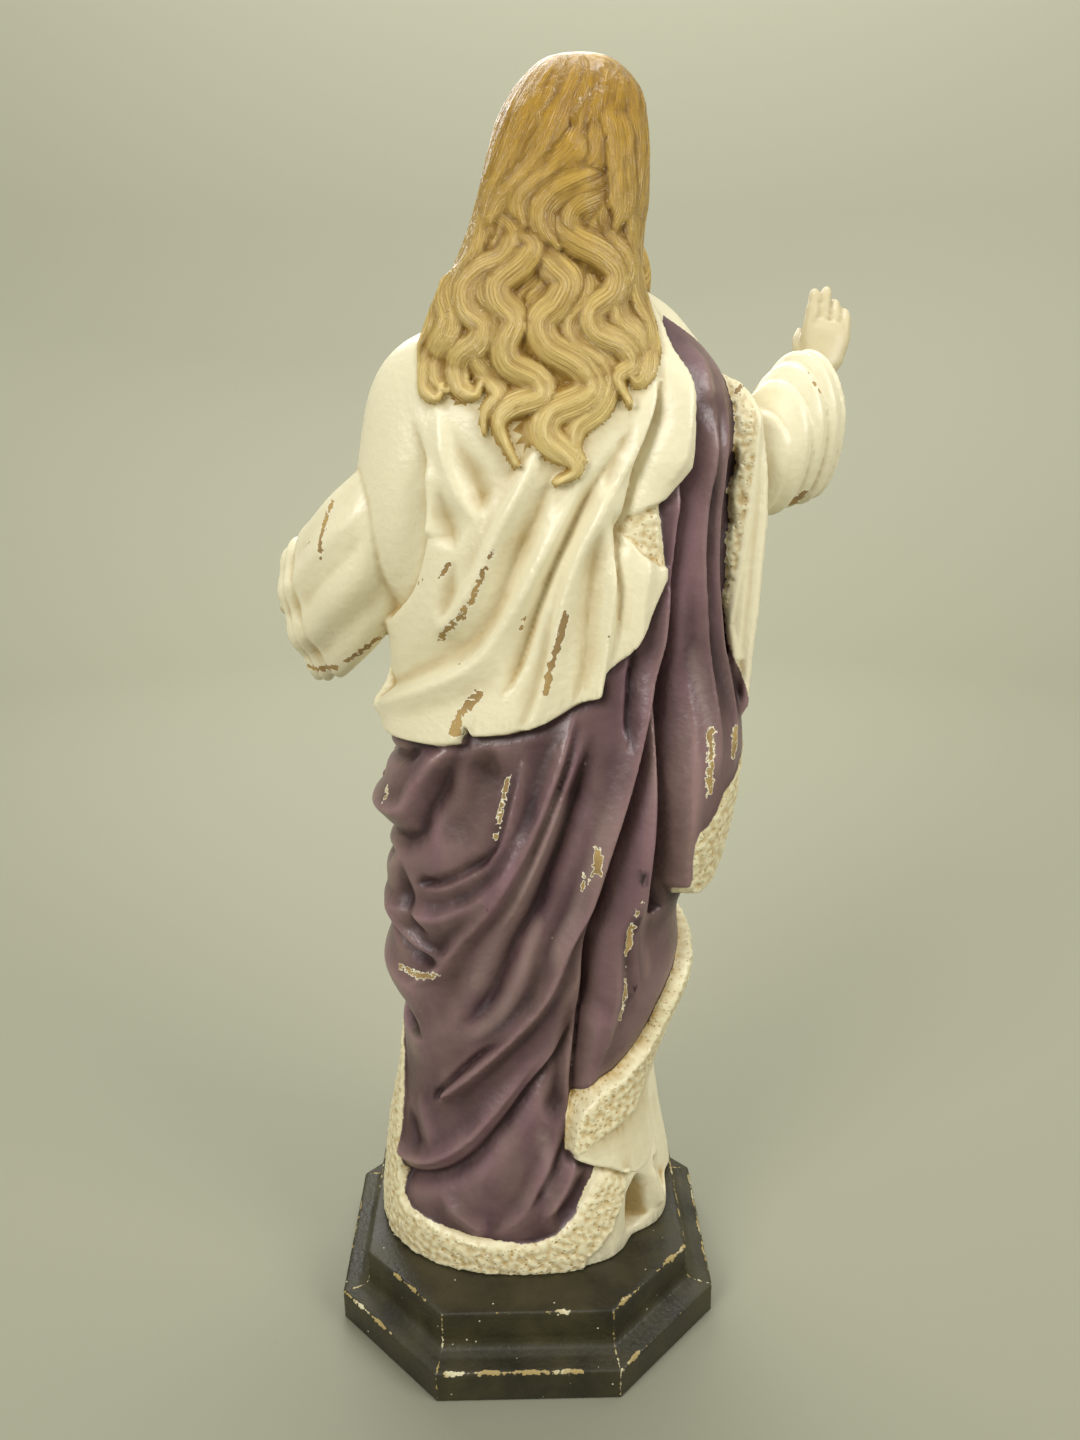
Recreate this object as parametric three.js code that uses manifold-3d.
// Painted plaster figure of a robed, bearded man with long hair, one hand raised in blessing,
// standing on a two-tier octagonal plinth. Millimetres, +Z up, origin under the plinth's middle.
// The figure looks along -Y. Angles round the robe start at the back (+Y) and grow towards +X.

import * as THREE from 'three';
import { SimplifyModifier } from 'three/addons/modifiers/SimplifyModifier.js';
import Module from 'manifold-3d';

const wasm = await Module();
wasm.setup();
const simplifier = new SimplifyModifier();

// Driving sizes of the plinth
const plinthApothem = 105;
const plinthHalfEdge = 48.4;
const upperApothem = 90.2;
const upperHalfEdge = 45.6;
const lowerTierTop = 18.8;
const plinthTop = 43.4;
const plinthRounding = 1.6;
const seatGap = 0.3;

// Driving sizes of the robe
const figureFoot = plinthTop + seatGap;
const neckTop = 558;
const squareness = 2.3;
const mmPerDegree = 1.35;
const layerRise = { cape: 5, swag: 5, side: 10, corner: 2.5, hem: 1.6 };
const edgeSoftness = 2.2;

// Robe sections: height, reach to +X, reach to -X, reach to the back, reach to the front
const robeSections = [
  [43, 86, -87, 63, -70],
  [60, 85, -85, 62, -69],
  [100, 79, -79, 56, -64],
  [150, 71, -76, 50, -58],
  [200, 72, -84, 50, -57],
  [240, 72, -88, 52, -58],
  [300, 74, -98, 55, -61],
  [345, 69, -98, 52, -58],
  [385, 61, -97, 49, -54],
  [415, 66, -97, 49, -54],
  [450, 73, -96, 49, -54],
  [490, 68, -93, 47, -50],
  [515, 61, -88, 42, -43],
  [530, 48, -78, 35, -35],
  [545, 16, -60, 26, -27],
  [558, 0, -46, 18, -20],
];

// Each fold is a line over the cloth: three [angle, height] points, its rise, then how far it
// spreads towards greater angles and heights, and how far the other way. A groove's rise is
// negative.
const capeFolds = [
  [[71, 503], [60, 474], [59, 436], -9, 7, 3],
  [[55, 510], [47, 477], [33, 454], 6, 5, 5],
  [[47, 492], [39, 470], [27, 455], -4, 3, 7],
  [[54, 468], [51, 452], [47, 440], -4, 4, 4],
  [[7, 492], [22, 455], [50, 418], 5, 9, 6],
  [[30, 442], [43, 426], [56, 400], -4, 4, 4],
  [[8, 474], [33, 419], [84, 376], 6, 6, 8],
  [[2, 483], [27, 416], [82, 361], -6, 4, 8],
  [[-6, 476], [12, 424], [66, 354], 6, 8, 6],
  [[-28, 490], [2, 423], [36, 350], -5, 7, 2.2],
  [[-34, 487], [-4, 421], [18, 355], 4, 2.5, 8],
  [[-37, 474], [-10, 407], [2, 370], 4, 7, 9],
  [[-45, 514], [-28, 434], [-24, 376], 5, 7, 3],
  [[-50, 508], [-39, 470], [-31, 390], -9, 3, 4.5],
  [[-57, 508], [-50, 478], [-39, 446], 5, 3, 8],
];
const mantleFolds = [
  [[-66, 524], [-54, 395], [-51, 259], 10, 9, 4],
  [[-51, 259], [-55, 199], [-51, 150], 6, 10, 9],
  [[-73, 505], [-63, 388], [-67, 256], -12, 4, 6],
  [[-84, 505], [-79, 408], [-80, 300], 9, 5, 8],
  [[-92, 494], [-92, 420], [-92, 350], -8, 6, 5],
  [[-57, 476], [-52, 433], [-46, 392], -8, 5, 4],
  [[-52, 403], [-44, 372], [-36, 338], -8, 3, 3],
  [[-44, 402], [-40, 372], [-33, 338], 5, 4, 2],
  [[-36, 392], [-32, 368], [-27, 338], -5, 4, 3],
  [[-47, 366], [-38, 296], [-33, 229], -13, 3, 7],
  [[-33, 229], [-28, 181], [-25, 140], -10, 9, 3.5],
  [[-41, 364], [-31, 296], [-23, 231], 9, 14, 4],
  [[-23, 231], [0, 181], [46, 127], 8, 9, 5],
  [[-20, 345], [-8, 290], [20, 222], -6, 8, 8],
  [[-12, 350], [9, 291], [52, 221], 9, 12, 7],
  [[-3, 342], [15, 299], [31, 262], -3, 4, 3],
  [[20, 332], [30, 285], [55, 269], 7, 5, 6],
  [[27, 325], [38, 291], [58, 278], -4, 5, 3],
  [[22, 350], [34, 312], [66, 288], 4, 12, 12],
  [[38, 348], [54, 334], [98, 298], 9, 6, 7],
  [[38, 340], [50, 315], [72, 300], -7, 4, 7],
  [[58, 304], [74, 292], [98, 274], 6, 6, 5],
  [[64, 280], [64, 256], [50, 240], -10, 6, 6],
  [[92, 268], [68, 238], [48, 230], 6, 4, 4],
  [[88, 236], [68, 224], [50, 222], -7, 4, 4],
  [[16, 272], [36, 262], [56, 240], 5, 10, 12],
  [[98, 212], [62, 202], [28, 226], 10, 8, 9],
  [[94, 186], [59, 190], [35, 205], -6, 5, 6],
  [[-18, 240], [6, 190], [54, 132], 5, 4, 6],
  [[4, 198], [27, 171], [51, 139], -6, 7, 2.5],
  [[-39, 240], [-38, 187], [-35, 140], 7, 3, 12],
  [[-7, 186], [15, 131], [60, 86], -6, 8, 3],
  [[74, 119], [62, 107], [54, 96], -5, 4, 4],
  [[62, 166], [52, 130], [38, 102], 5, 6, 6],
  [[-14, 116], [-5, 86], [8, 66], 5, 6, 8],
];
const tunicFolds = [
  [[150, 530], [146, 470], [152, 380], 5, 6, 6],
  [[163, 538], [160, 480], [163, 380], -5, 5, 5],
  [[176, 540], [175, 480], [174, 370], 5, 6, 6],
  [[187, 540], [188, 480], [186, 370], -5, 5, 5],
  [[199, 538], [202, 480], [197, 360], 5, 6, 6],
  [[214, 530], [216, 470], [211, 360], -5, 5, 5],
  [[228, 520], [231, 470], [226, 350], 4, 6, 6],
  [[128, 190], [127, 110], [125, 46], 7, 7, 7],
  [[143, 190], [142, 110], [141, 46], -7, 6, 6],
  [[157, 188], [156, 110], [155, 46], 7, 7, 7],
  [[172, 184], [172, 110], [172, 46], -7, 6, 6],
  [[187, 184], [188, 110], [189, 46], 7, 7, 7],
  [[203, 188], [204, 110], [205, 46], -7, 6, 6],
  [[219, 194], [221, 110], [222, 46], 7, 7, 7],
  [[235, 202], [238, 110], [240, 46], -7, 6, 6],
  [[252, 212], [256, 120], [258, 46], 7, 7, 7],
  [[270, 150], [272, 110], [273, 50], -8, 6, 6],
  [[284, 96], [287, 80], [290, 54], -6, 6, 5],
];
const swagFolds = [
  [[120, 396], [170, 354], [238, 330], 7, 9, 5],
  [[118, 368], [168, 322], [240, 290], 7, 10, 5],
  [[116, 338], [163, 288], [238, 252], 8, 10, 5],
  [[114, 306], [158, 250], [228, 214], 8, 10, 5],
  [[112, 268], [146, 216], [200, 184], 7, 9, 5],
];

// Outlines of cloth that lies over other cloth, as [angle, height] corners
const capeOutline = [
  [90, 548], [116, 470], [116, 384], [100, 352], [85, 342], [64, 344], [46, 346], [34, 349],
  [17, 353], [3, 359], [-13, 367], [-24, 372], [-25, 387], [-35, 394], [-46, 412], [-50, 428],
  [-52, 450], [-50, 462], [-64, 473], [-66, 495], [-68, 548],
];
const swagOutline = [
  [106, 410], [150, 390], [200, 372], [252, 352], [264, 300], [258, 235], [230, 196],
  [190, 174], [150, 176], [116, 208], [106, 300],
];
const sideOutline = [
  [-74, 500], [-104, 506], [-116, 440], [-122, 380], [-118, 320], [-99, 266], [-90, 244],
  [-78, 238], [-71, 250], [-68, 320],
];
const cornerOutline = [
  [-100, 222], [-86, 212], [-78, 196], [-69, 167], [-59, 158], [-37, 143], [-28, 133],
  [-25, 112], [-33, 98], [-62, 80], [-76, 84], [-86, 120],
];
const hemOutline = [
  [-58, 75], [-40, 104], [-28, 90], [-20, 66], [-8, 61], [22, 65], [56, 70], [70, 84], [80, 150],
  [96, 160], [104, 40], [-58, 40],
];

// Hair sections, in the same order as the robe's
const hairSections = [
  [649, -20, -34, 6, -8],
  [646, -10, -46, 19, -20],
  [640, -3, -53, 27, -29],
  [632, 3, -58, 33, -32],
  [622, 7, -62, 37, -22],
  [605, 11, -62, 40, -14],
  [585, 15, -60, 42, -9],
  [565, 22, -60, 43, -6],
  [545, 31, -66, 46, -4],
  [528, 37, -71, 50, 0],
  [510, 33, -65, 52, 10],
  [492, 20, -56, 54, 20],
  [478, 4, -42, 55, 28],
];
const lockDepth = 4.5;
// Waved locks down the back: x at the top and at the tip, height of both, half-width, then how
// far the wave swings, a height where it swings furthest to +X, and half its length
const backLocks = [
  [10, 36, 584, 507, 4.5, 2.5, 540, 16],
  [1, 30, 622, 512, 5, 2, 560, 22],
  [-3, 20, 632, 507, 5.2, 4.5, 544, 22],
  [6, 12, 566, 490, 4.2, 3.2, 519, 11],
  [-9, 6, 634, 498, 5, 4.5, 541, 20],
  [0, -3, 572, 471, 5.4, 6.5, 525, 16.5],
  [-15, -21, 638, 467, 6, 7.5, 531, 21],
  [-24, -31, 638, 488, 5, 6, 533, 21],
  [-31, -42, 636, 500, 5.4, 5.5, 536, 21],
  [-39, -47, 632, 498, 5, 5, 544, 20],
  [-47, -53, 626, 505, 4.6, 4, 538, 20],
  [-52, -61, 606, 518, 4.4, 3, 540, 16],
];
const faceCurlHalfLength = 20;
const faceCurlSwing = 2.4;
// Locks beside the face: distance from the middle of the head and forward reach at the
// parting, the temple, the jaw and the tip on the shoulder
const faceLocks = [
  [[4, -20], [26, -24], [33, -20], [32, -30]],
  [[5, -10], [31, -15], [37, -12], [41, -18]],
  [[6, 0], [33, -3], [40, -2], [48, -2]],
];
const faceLockHeights = [640, 618, 566, 528];

// Sizes of the head
const headMiddle = [-27, -6];
const chinHeight = 562;
const headHeight = 83;
const headHalfWidth = 27;
const headHalfDepth = 34;
const neckRadius = 19;
// Forms of the face, the same on both sides: degrees from the front, height over the chin,
// rise, half-width in degrees, half-height
const faceForms = [
  [0, 66, 1.5, 26, 10],
  [17, 50, 1.8, 13, 2.6],
  [0, 43, -1, 5, 3],
  [18, 42, -4.4, 9, 5.5],
  [18.5, 41.5, 3.4, 5.5, 3.6],
  [18.5, 41, -0.9, 6, 0.8],
  [0, 38, 3.2, 4, 7],
  [0, 32, 5, 5, 6],
  [0, 28.5, 4.5, 5.5, 3.4],
  [7, 26.5, 3, 4, 2.6],
  [0, 23, -2, 8, 2],
  [36, 35, 2, 13, 7],
  [38, 20, -1.5, 12, 8],
  [5, 18.3, 1.8, 8, 1.6],
  [0, 14.2, 2.3, 8, 1.9],
  [0, 16.3, -1.3, 12, 0.8],
  [8, 21, 1.8, 7, 1.7],
  [18, 18, 2.2, 7, 2.4],
  [27, 12, 2, 6, 4],
  [0, 5, 6, 17, 6],
  [24, 5, 4, 14, 8],
  [46, 12, 2.5, 13, 13],
  [60, 22, 2, 10, 12],
];
// Locks of the beard: degrees from the front at the chin, then drop of the tip
const beardLocks = [[-28, 6], [-15, 11], [-4, 15], [6, 15], [17, 11], [29, 6]];

// Most faces that each form is brought down to
const robeFaces = 4200;
const sleeveFaces = 260;
const fallFaces = 110;
const hairFaces = 2400;
const headFaces = 950;
const handFaces = 290;
const footFaces = 110;
const smallestDetail = 0.05;

function lerp(a, b, t) {
  return a + (b - a) * t;
}

// A smooth step from 0 at low to 1 at high
function smooth(value, low, high) {
  const t = Math.min(1, Math.max(0, (value - low) / (high - low)));
  return t * t * (3 - 2 * t);
}

// The four reaches at a height, on smooth curves through the sections
function sectionAt(sections, height) {
  const last = sections.length - 1;
  const rows = sections[0][0] < sections[last][0] ? sections : [...sections].reverse();
  const z = Math.min(rows[last][0], Math.max(rows[0][0], height));
  let i = 0;
  while (i < last - 1 && rows[i + 1][0] < z) {
    i += 1;
  }
  const low = rows[i];
  const high = rows[i + 1];
  const before = rows[Math.max(0, i - 1)];
  const after = rows[Math.min(last, i + 2)];
  const span = high[0] - low[0];
  const t = (z - low[0]) / span;
  return [1, 2, 3, 4].map((k) => {
    const slopeLow = ((high[k] - before[k]) / (high[0] - before[0])) * span;
    const slopeHigh = ((after[k] - low[k]) / (after[0] - low[0])) * span;
    const a = (1 + 2 * t) * (1 - t) ** 2;
    const b = t * (1 - t) ** 2;
    const c = t * t * (3 - 2 * t);
    const d = t * t * (t - 1);
    return a * low[k] + b * slopeLow + c * high[k] + d * slopeHigh;
  });
}

// Radius of a squared oval in the direction of an angle from the back
function ovalRadius(angle, halfWidth, halfDepth) {
  const across = Math.abs(Math.sin(angle)) / halfWidth;
  const along = Math.abs(Math.cos(angle)) / halfDepth;
  return (across ** squareness + along ** squareness) ** (-1 / squareness);
}

// A point round a squared oval whose four reaches come from a list of sections
function ovalPoint(sections, angle, height, rise) {
  const [right, left, back, front] = sectionAt(sections, height);
  const radius = ovalRadius(angle, (right - left) / 2, (back - front) / 2) + rise;
  return new THREE.Vector3(
    (right + left) / 2 + radius * Math.sin(angle),
    (back + front) / 2 + radius * Math.cos(angle),
    height,
  );
}

// Cloth coordinates in millimetres from an angle and a height
function onCloth([angle, height]) {
  return [angle * mmPerDegree, height];
}

// A fold's curve through its three points, as short straight steps
function foldCurve([start, middle, end]) {
  const steps = 10;
  const curve = [];
  for (let i = 0; i <= steps; i += 1) {
    const t = i / steps;
    const a = (1 - t) * (1 - 2 * t);
    const b = 4 * t * (1 - t);
    const c = t * (2 * t - 1);
    curve.push(onCloth([0, 1].map((k) => a * start[k] + b * middle[k] + c * end[k])));
  }
  return curve;
}

// Distance to a straight step, positive on its side of greater angle and height
function signedDistance(x, y, [ax, ay], [bx, by]) {
  const dx = bx - ax;
  const dy = by - ay;
  const t = Math.min(1, Math.max(0, ((x - ax) * dx + (y - ay) * dy) / (dx * dx + dy * dy)));
  const side = dx * (y - ay) - dy * (x - ax) < 0 ? -1 : 1;
  return side * Math.hypot(x - ax - t * dx, y - ay - t * dy);
}

function prepareFolds(folds) {
  return folds.map(([start, middle, end, rise, above, below]) => {
    const curve = foldCurve([start, middle, end]);
    const margin = 2.6 * Math.max(above, below);
    const xs = curve.map(([x]) => x);
    const ys = curve.map(([, y]) => y);
    return {
      curve,
      rise,
      above,
      below,
      left: Math.min(...xs) - margin,
      right: Math.max(...xs) + margin,
      bottom: Math.min(...ys) - margin,
      top: Math.max(...ys) + margin,
    };
  });
}

function foldRise(folds, angle, height) {
  const [x, y] = onCloth([angle, height]);
  let total = 0;
  for (const fold of folds) {
    if (x > fold.left && x < fold.right && y > fold.bottom && y < fold.top) {
      let nearest = Infinity;
      for (let i = 1; i < fold.curve.length; i += 1) {
        const distance = signedDistance(x, y, fold.curve[i - 1], fold.curve[i]);
        nearest = Math.abs(distance) < Math.abs(nearest) ? distance : nearest;
      }
      const spread = nearest > 0 ? fold.above : fold.below;
      total += fold.rise * Math.exp(-(Math.abs(nearest / spread) ** 1.7));
    }
  }
  return total;
}

// How much a layer of cloth covers a place: 1 well inside its outline, 0 outside it
function coverOf(outline, angle, height) {
  const [x, y] = onCloth([angle, height]);
  const corners = outline.map(onCloth);
  let nearest = Infinity;
  let inside = false;
  for (let i = 0; i < corners.length; i += 1) {
    const [x1, y1] = corners[i];
    const [x2, y2] = corners[(i + 1) % corners.length];
    nearest = Math.min(nearest, Math.abs(signedDistance(x, y, [x1, y1], [x2, y2])));
    if ((y1 > y) !== (y2 > y) && x < x1 + ((y - y1) / (y2 - y1)) * (x2 - x1)) {
      inside = !inside;
    }
  }
  return smooth(inside ? nearest : -nearest, -edgeSoftness, edgeSoftness);
}

const clothFolds = {
  cape: prepareFolds(capeFolds),
  mantle: prepareFolds(mantleFolds),
  tunic: prepareFolds(tunicFolds),
  swag: prepareFolds(swagFolds),
};

// How far the robe stands out from its plain oval: folds, and layers of cloth
function robeRelief(degrees, height) {
  const whole = degrees < 0 ? degrees + 360 : degrees;
  const cover = {
    cape: coverOf(capeOutline, degrees, height),
    swag: coverOf(swagOutline, whole, height),
    side: coverOf(sideOutline, degrees, height),
    corner: coverOf(cornerOutline, degrees, height),
    hem: coverOf(hemOutline, degrees, height),
  };
  const bare = (1 - cover.cape) * (1 - cover.hem) * (1 - cover.corner);
  let rise = foldRise(clothFolds.mantle, degrees, height) * bare;
  rise += foldRise(clothFolds.cape, degrees, height) * cover.cape;
  rise += foldRise(clothFolds.tunic, whole, height) * (1 - cover.swag);
  rise += foldRise(clothFolds.swag, whole, height) * cover.swag;
  for (const layer of Object.keys(cover)) {
    rise += cover[layer] * layerRise[layer];
  }
  return rise * (1 - smooth(height, 528, 550));
}

function robePoint(degrees, height) {
  const angle = THREE.MathUtils.degToRad(degrees);
  return ovalPoint(robeSections, angle, height, robeRelief(degrees, height));
}

function centreOf(ring) {
  const sum = ring.reduce((total, point) => total.add(point), new THREE.Vector3());
  return sum.divideScalar(ring.length);
}

// A closed solid through a row of rings with the same number of points
function loft(rings) {
  const count = rings[0].length;
  const points = rings.flat();
  const lastRow = points.length - count;
  const startTip = points.push(centreOf(rings[0])) - 1;
  const endTip = points.push(centreOf(rings[rings.length - 1])) - 1;
  const faces = [];
  for (let j = 0; j < count; j += 1) {
    const next = (j + 1) % count;
    faces.push([startTip, next, j], [endTip, lastRow + j, lastRow + next]);
    for (let row = 0; row < lastRow; row += count) {
      faces.push([row + j, row + next, row + count + next]);
      faces.push([row + j, row + count + next, row + count + j]);
    }
  }
  return solidFrom(points, faces);
}

function solidFrom(points, faces) {
  const volume = faces.reduce((total, [a, b, c]) => {
    const cross = new THREE.Vector3().crossVectors(points[b], points[c]);
    return total + points[a].dot(cross);
  }, 0);
  const outward = volume > 0 ? faces : faces.map(([a, b, c]) => [a, c, b]);
  return new wasm.Manifold(new wasm.Mesh({
    numProp: 3,
    vertProperties: new Float32Array(points.flatMap((point) => point.toArray())),
    triVerts: new Uint32Array(outward.flat()),
  }));
}

function geometryOf(solid) {
  const { vertProperties, triVerts } = solid.getMesh();
  const geometry = new THREE.BufferGeometry();
  geometry.setAttribute('position', new THREE.BufferAttribute(vertProperties, 3));
  geometry.setIndex(new THREE.BufferAttribute(triVerts, 1));
  return geometry;
}

// The same form with fewer faces, kept where the form bends most
async function simplified(solid, faces) {
  const geometry = geometryOf(solid);
  const { count } = geometry.attributes.position;
  const spare = count * (1 - (3 * faces) / geometry.index.count);
  if (spare <= 0) {
    return solid;
  }
  const simple = await simplifier.modify(geometry, spare);
  return new wasm.Manifold(new wasm.Mesh({
    numProp: 3,
    vertProperties: simple.attributes.position.array,
    triVerts: new Uint32Array(simple.index.array),
  }));
}

// Solids joined into one body, without bubbles left inside or edges shorter than the detail
function joined(solids) {
  const whole = solids.reduce((sum, solid) => sum.add(solid)).simplify(smallestDetail);
  return whole.decompose().reduce((main, body) => (
    body.volume() > main.volume() ? body : main
  ));
}

function vector([x, y, z]) {
  return new THREE.Vector3(x, y, z);
}

// An oval ring round a centre, across two directions with a reach in each
function ovalRing(centre, wide, deep, count) {
  const ring = [];
  for (let j = 0; j < count; j += 1) {
    const angle = (2 * Math.PI * j) / count;
    ring.push(centre.clone()
      .addScaledVector(wide, Math.cos(angle))
      .addScaledVector(deep, Math.sin(angle)));
  }
  return ring;
}

// A limb or lock along a path of [place, half-width, half-depth] stops; its shallow side
// looks towards facing
function limb(stops, facing, sides) {
  const places = stops.map(([place]) => vector(place));
  const last = places.length - 1;
  return loft(stops.map(([, wide, deep], i) => {
    const along = places[Math.min(last, i + 1)].clone().sub(places[Math.max(0, i - 1)]);
    const across = new THREE.Vector3().crossVectors(along, facing).normalize();
    const out = new THREE.Vector3().crossVectors(across, along).normalize();
    return ovalRing(places[i], across.multiplyScalar(wide), out.multiplyScalar(deep), sides);
  }));
}

// Stops set between a few given ones, on a smooth curve through them
function fillStops(stops, steps) {
  const curve = new THREE.CatmullRomCurve3(stops.map(([place]) => vector(place)));
  const last = stops.length - 1;
  const filled = [];
  for (let i = 0; i <= steps; i += 1) {
    const at = (last * i) / steps;
    const k = Math.min(last - 1, Math.floor(at));
    const sizes = [1, 2].map((n) => lerp(stops[k][n], stops[k + 1][n], smooth(at - k, 0, 1)));
    filled.push([curve.getPoint(i / steps).toArray(), ...sizes]);
  }
  return filled;
}

function makeRobe() {
  const rows = 190;
  const columns = 200;
  const rings = [];
  for (let i = 0; i <= rows; i += 1) {
    const ring = [];
    for (let j = 0; j < columns; j += 1) {
      ring.push(robePoint((360 * j) / columns - 180, lerp(figureFoot, neckTop, i / rows)));
    }
    rings.push(ring);
  }
  return simplified(loft(rings), robeFaces);
}

// A wide sleeve: rings of [centre, half-height, half-depth], with soft folds round the arm and
// a hanging lower edge, ending in a hollowed mouth
function makeSleeve(rings, tall, deep) {
  const steps = 36;
  const sides = 36;
  const wall = 3;
  const foldLength = 13;
  const stops = fillStops(rings, steps);
  const mouth = stops[steps];
  const inner = vector(mouth[0]).lerp(vector(stops[steps - 14][0]), 0.8).toArray();
  stops.push([mouth[0], mouth[1] - wall, mouth[2] - wall]);
  stops.push([inner, mouth[1] - 3 * wall, mouth[2] - 3 * wall]);
  return simplified(loft(stops.map(([centre, height, depth], i) => {
    const strength = 0.03 * smooth(i, 6, 16) * (i > steps - 3 ? 0 : 1);
    const droop = 0.16 * smooth(i, 8, 30);
    const ring = [];
    for (let j = 0; j < sides; j += 1) {
      const angle = (2 * Math.PI * j) / sides;
      const fold = Math.sin((2 * Math.PI * i) / foldLength + 1.4 * Math.cos(angle));
      const low = Math.exp(-(((angle - Math.PI) / 0.5) ** 2));
      const swell = 1 + strength * fold + droop * low;
      ring.push(vector(centre)
        .addScaledVector(tall, height * swell * Math.cos(angle))
        .addScaledVector(deep, depth * swell * Math.sin(angle)));
    }
    return ring;
  })), sleeveFaces);
}

function makeRightSleeve() {
  const tall = new THREE.Vector3(0.23, 0, 0.97).normalize();
  const deep = new THREE.Vector3(-0.62, 0.72, 0.3).normalize();
  return makeSleeve([
    [[-84, -2, 476], 27, 26],
    [[-104, -5, 474], 28, 27],
    [[-122, -12, 477], 30, 26],
    [[-137, -21, 484], 33, 25],
    [[-148, -30, 491], 34, 23],
  ], tall, deep);
}

function makeLeftSleeve() {
  const tall = new THREE.Vector3(0.4, 0, 0.92).normalize();
  const deep = new THREE.Vector3(0.38, 0.92, 0).normalize();
  return makeSleeve([
    [[56, 2, 440], 26, 26],
    [[74, -5, 430], 29, 26],
    [[92, -18, 414], 30, 25],
    [[108, -32, 401], 30, 22],
    [[120, -42, 392], 28, 20],
  ], tall, deep);
}

// The end of the mantle that hangs from the raised forearm
function makeMantleFall() {
  const wide = new THREE.Vector3(1, 0, 0);
  const deep = new THREE.Vector3(0, 1, 0);
  const stops = fillStops([
    [[-97, 0, 516], 5, 8],
    [[-105, -5, 503], 12, 18],
    [[-110, -8, 480], 12, 23],
    [[-109, -8, 440], 12, 24],
    [[-108, -8, 395], 12, 23],
    [[-107, -8, 360], 12, 21],
    [[-108, -8, 343], 9, 15],
  ], 40);
  return simplified(loft(stops.map(([centre, width, depth]) => ovalRing(
    vector(centre),
    wide.clone().multiplyScalar(width),
    deep.clone().multiplyScalar(depth),
    24,
  ))), fallFaces);
}

function makeHairMass() {
  const rows = 60;
  const columns = 60;
  const [[top], , , , , , , , , , , , [bottom]] = hairSections;
  const rings = [];
  for (let i = 0; i <= rows; i += 1) {
    const ring = [];
    for (let j = 0; j < columns; j += 1) {
      const angle = (2 * Math.PI * j) / columns;
      ring.push(ovalPoint(hairSections, angle, lerp(top, bottom, i / rows), 0));
    }
    rings.push(ring);
  }
  return loft(rings);
}

// How far back the hair's surface lies at a place across and a height
function hairBack(x, height) {
  const [right, left, back, front] = sectionAt(hairSections, height);
  const reach = Math.min(0.96, Math.abs(x - (right + left) / 2) / ((right - left) / 2));
  const depth = (back - front) / 2;
  return (back + front) / 2 + depth * (1 - reach ** squareness) ** (1 / squareness);
}

function makeBackLock([topX, tipX, topZ, tipZ, halfWidth, swing, crest, halfLength], order) {
  const steps = 56;
  const stops = [];
  for (let i = 0; i <= steps; i += 1) {
    const t = i / steps;
    const z = lerp(topZ, tipZ, t);
    const wave = swing * Math.cos((Math.PI * (z - crest)) / halfLength);
    const x = lerp(topX, tipX, smooth(t, -0.4, 1)) + wave * smooth(z, 610, 575);
    const size = halfWidth * (1 - 0.75 * smooth(t, 0.84, 1)) * lerp(0.4, 1, smooth(t, 0, 0.3));
    const y = hairBack(x, z) - (order % 2) * 1.5 + 1.5 * t;
    stops.push([[x, y, z], size, (lockDepth * size) / halfWidth]);
  }
  return limb(stops, new THREE.Vector3(0, 1, 0), 10);
}

function makeFaceLock(route, sign) {
  const places = route.map(([side, forward], i) => (
    [headMiddle[0] + sign * side, forward, faceLockHeights[i]]
  ));
  const sizes = [[4, 3], [6, 5], [6.5, 5], [3, 2.5]];
  const steps = 40;
  const stops = fillStops(places.map((place, i) => [place, ...sizes[i]]), steps);
  stops.forEach(([place], i) => {
    const turn = (Math.PI * place[2]) / faceCurlHalfLength;
    const strength = faceCurlSwing * smooth(i, steps * 0.3, steps * 0.6);
    place[0] += sign * strength * Math.cos(turn);
    place[1] += strength * Math.sin(turn);
  });
  return limb(stops, new THREE.Vector3(sign, 0.2, 0), 10);
}

function makeHair() {
  const locks = backLocks.map(makeBackLock);
  for (const route of faceLocks) {
    locks.push(makeFaceLock(route, 1), makeFaceLock(route, -1));
  }
  return simplified(joined([makeHairMass(), ...locks]), hairFaces);
}

function headPoint(degrees, rise) {
  const part = rise / headHeight;
  const dome = Math.sqrt(Math.max(0.01, 1 - ((part - 0.52) / 0.51) ** 2));
  const narrowing = part > 0.52 ? dome : lerp(0.66, 1, smooth(part, -0.08, 0.5));
  const angle = THREE.MathUtils.degToRad(degrees);
  let radius = ovalRadius(angle, headHalfWidth * narrowing, headHalfDepth * narrowing);
  for (const [side, level, height, wide, tall] of faceForms) {
    for (const sign of side === 0 ? [1] : [-1, 1]) {
      const across = (degrees - sign * side) / wide;
      const up = (rise - level) / tall;
      radius += height * Math.exp(-across * across - up * up);
    }
  }
  return new THREE.Vector3(
    headMiddle[0] - radius * Math.sin(angle),
    headMiddle[1] - radius * Math.cos(angle),
    chinHeight + rise,
  );
}

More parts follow.
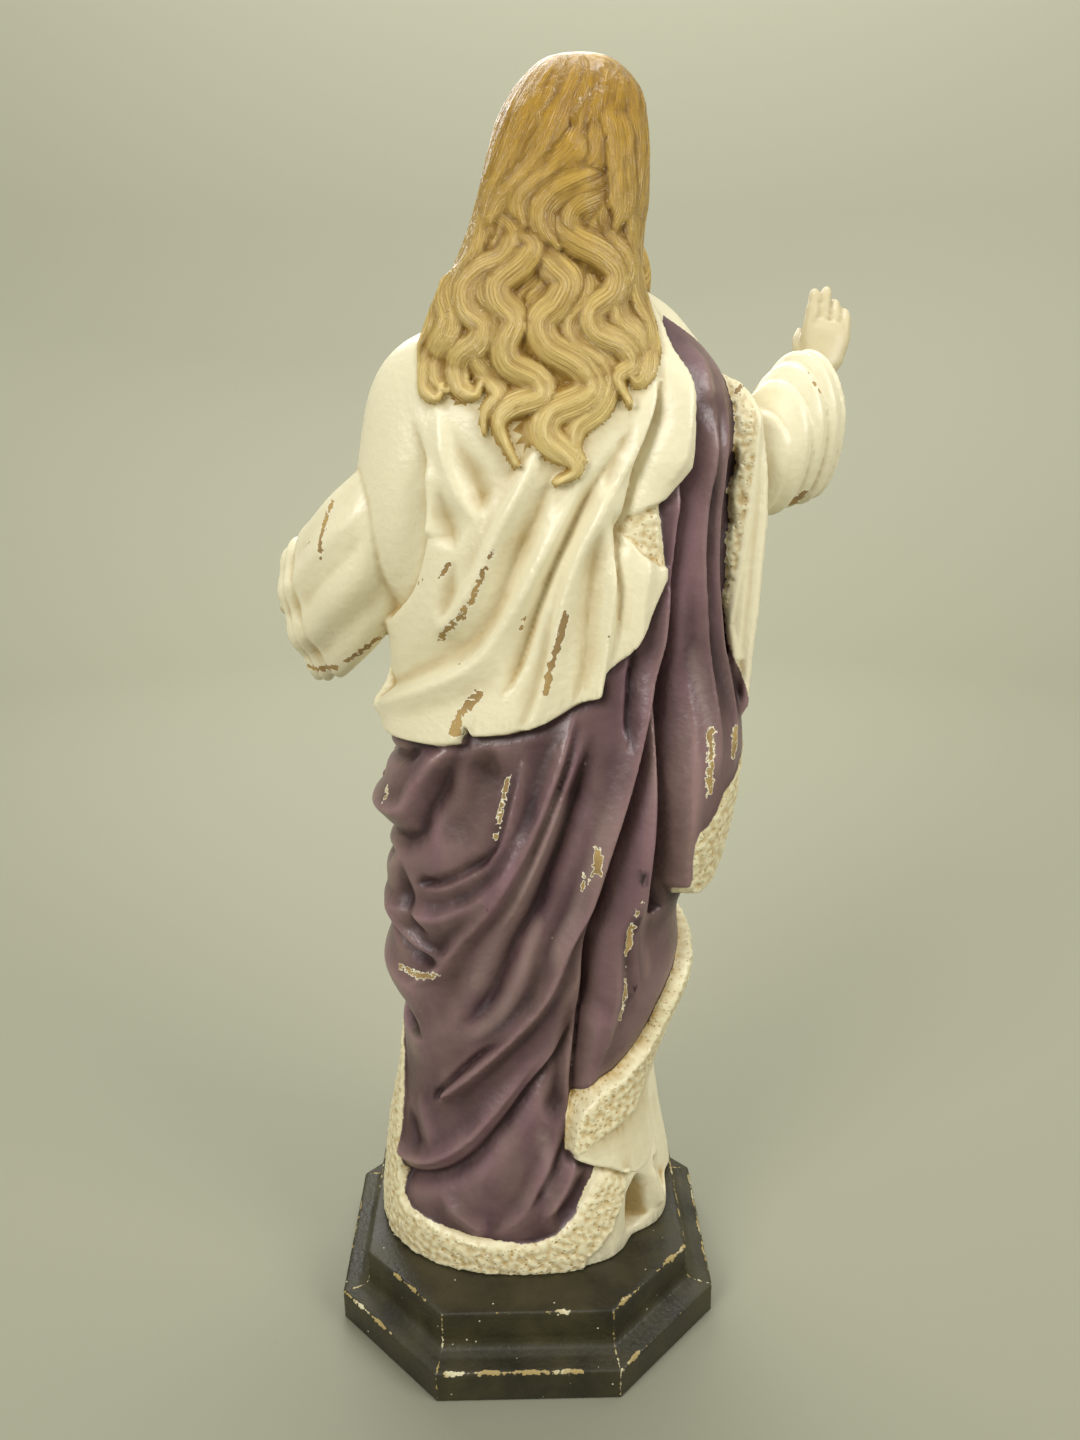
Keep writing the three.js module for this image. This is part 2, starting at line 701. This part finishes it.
function makeHead() {
  const degrees = [];
  for (let angle = -90; angle < 90; angle += 2.5) {
    degrees.push(angle);
  }
  for (let angle = 90; angle < 270; angle += 12) {
    degrees.push(angle);
  }
  const rings = [-48, -30, -12].map((drop) => degrees.map((angle) => {
    const turn = THREE.MathUtils.degToRad(angle);
    return new THREE.Vector3(
      headMiddle[0] - neckRadius * Math.sin(turn),
      headMiddle[1] + 3 - neckRadius * Math.cos(turn),
      chinHeight + drop,
    );
  }));
  const rows = 76;
  for (let i = 0; i <= rows; i += 1) {
    const rise = lerp(0, headHeight, i / rows);
    rings.push(degrees.map((angle) => headPoint(angle, rise)));
  }
  const beard = beardLocks.map(([side, drop]) => {
    const out = headPoint(side, 5);
    const tip = [lerp(out.x, headMiddle[0], 0.35), out.y + 1, chinHeight - drop];
    const middle = [lerp(out.x, tip[0], 0.4), out.y + 0.5, chinHeight - drop * 0.3];
    const start = [out.x, out.y + 5, chinHeight + 14];
    const stops = fillStops([[start, 3, 3], [middle, 5.5, 4.5], [tip, 1.5, 1.5]], 14);
    return limb(stops, new THREE.Vector3(0, -1, 0), 10);
  });
  return simplified(joined([loft(rings), ...beard]), headFaces);
}

// A hand from inside the sleeve to its fingertips: along is where it points, palm is where its
// palm looks, thumbSide is where its thumb lies, and bends curl the four fingers to the palm
function makeHand(forearm, wrist, along, palm, thumbSide, bends) {
  const place = (down, side, out) => vector(wrist)
    .addScaledVector(along, down)
    .addScaledVector(thumbSide, side)
    .addScaledVector(palm, out)
    .toArray();
  const back = palm.clone().negate();
  const body = fillStops([
    [forearm, 9, 8],
    [place(-14, 0, 0), 8, 7],
    [place(0, 0, 0), 7.5, 6],
    [place(9, 0, 0), 11, 6],
    [place(20, 0, 0), 12.5, 5.5],
    [place(27, 0, 0), 12, 4],
  ], 20);
  const parts = [limb(body, back, 16)];
  const knuckles = [9, 3.1, -2.8, -8.4];
  const lengths = [21, 23.5, 21.5, 17];
  knuckles.forEach((side, i) => {
    const bend = bends[i];
    const stops = [];
    for (let part = -0.3; part <= 1; part += 0.1) {
      const reach = (lengths[i] * Math.sin(bend * part)) / bend;
      const drop = (lengths[i] * (1 - Math.cos(bend * part))) / bend;
      const size = lerp(3.4, 2.5, Math.max(0, part)) * (part > 0.95 ? 0.55 : 1);
      stops.push([place(24 + reach, side, drop), size, size]);
    }
    parts.push(limb(stops, back, 12));
  });
  const thumb = fillStops([
    [place(2, 4, 1), 4.5, 4.5],
    [place(10, 12, 2), 4, 4],
    [place(18, 16, 3), 3.4, 3.2],
    [place(26, 17, 3), 1.8, 1.8],
  ], 16);
  parts.push(limb(thumb, back, 12));
  return simplified(joined(parts), handFaces);
}

function makeRightHand() {
  const along = new THREE.Vector3(-0.2, -0.38, 0.9).normalize();
  const palm = new THREE.Vector3(0, -0.92, -0.39).normalize();
  const thumbSide = new THREE.Vector3().crossVectors(palm, along).normalize();
  thumbSide.multiplyScalar(Math.sign(thumbSide.x));
  return makeHand([-120, -10, 476], [-152, -38, 508], along, palm, thumbSide, [0.2, 0.2, 0.8, 1]);
}

function makeLeftHand() {
  const along = new THREE.Vector3(0.34, -0.9, -0.27).normalize();
  const palm = new THREE.Vector3(-0.1, -0.35, 0.93).normalize();
  const thumbSide = new THREE.Vector3().crossVectors(palm, along).normalize();
  thumbSide.multiplyScalar(Math.sign(thumbSide.x));
  return makeHand([92, -18, 412], [114, -52, 393], along, palm, thumbSide, [0.3, 0.35, 0.45, 0.55]);
}

// The front of a bare foot, whose toes show under the hem
function makeFoot(x, outer) {
  const up = new THREE.Vector3(0, 0, 1);
  const instep = fillStops([
    [[x, -40, figureFoot + 9], 13, 9],
    [[x + outer * 2, -60, figureFoot + 8], 13, 8],
    [[x + outer * 3, -77, figureFoot + 5], 12, 5],
  ], 12);
  const parts = [limb(instep, up, 16)];
  [9, 3.5, -1.5, -6, -10].forEach((side, i) => {
    const size = i === 0 ? 3.8 : 2.9 - 0.12 * i;
    const reach = 87 - 1.5 * i;
    const toeX = x + outer * (3 - side);
    const toe = fillStops([
      [[toeX, -68, figureFoot + size], size, size],
      [[toeX, -reach + 4, figureFoot + size], size, size],
      [[toeX, -reach, figureFoot + size], size * 0.5, size * 0.5],
    ], 10);
    parts.push(limb(toe, up, 10));
  });
  return simplified(joined(parts), footFaces);
}

function octagonRing(apothem, halfEdge, z) {
  const corners = [
    [halfEdge, apothem], [apothem, halfEdge], [apothem, -halfEdge], [halfEdge, -apothem],
    [-halfEdge, -apothem], [-apothem, -halfEdge], [-apothem, halfEdge], [-halfEdge, apothem],
  ];
  return corners.map(([x, y]) => new THREE.Vector3(x, y, z));
}

function makePlinth() {
  const r = plinthRounding;
  const steps = [
    [plinthApothem - 1, 0],
    [plinthApothem, 1],
    [plinthApothem, lowerTierTop - r],
    [plinthApothem - r, lowerTierTop],
    [upperApothem + 6, lowerTierTop + 1.5],
    [upperApothem + 2, lowerTierTop + 3],
    [upperApothem, lowerTierTop + 6],
    [upperApothem, plinthTop - r],
    [upperApothem - r, plinthTop],
  ];
  return loft(steps.map(([apothem, z]) => {
    const part = Math.max(0, (apothem - upperApothem) / (plinthApothem - upperApothem));
    return octagonRing(apothem, lerp(upperHalfEdge, plinthHalfEdge, part), z);
  }));
}

async function makeFigure() {
  return joined(await Promise.all([
    makeRobe(),
    makeLeftSleeve(),
    makeRightSleeve(),
    makeMantleFall(),
    makeHair(),
    makeHead(),
    makeRightHand(),
    makeLeftHand(),
    makeFoot(24, 1),
    makeFoot(-28, -1),
  ]));
}

function meshFrom(solid, name, material) {
  const geometry = geometryOf(solid);
  geometry.computeVertexNormals();
  const mesh = new THREE.Mesh(geometry, material);
  mesh.name = name;
  return mesh;
}

const paintedPlaster = new THREE.MeshStandardMaterial({
  color: 0xefe6c4,
  roughness: 0.45,
  metalness: 0,
});
const darkPlinthPaint = new THREE.MeshStandardMaterial({
  color: 0x2f2c22,
  roughness: 0.5,
  metalness: 0,
});

const statue = new THREE.Group();
statue.add(meshFrom(makePlinth(), 'plinth', darkPlinthPaint));
statue.add(meshFrom(await makeFigure(), 'figure', paintedPlaster));

export default statue;
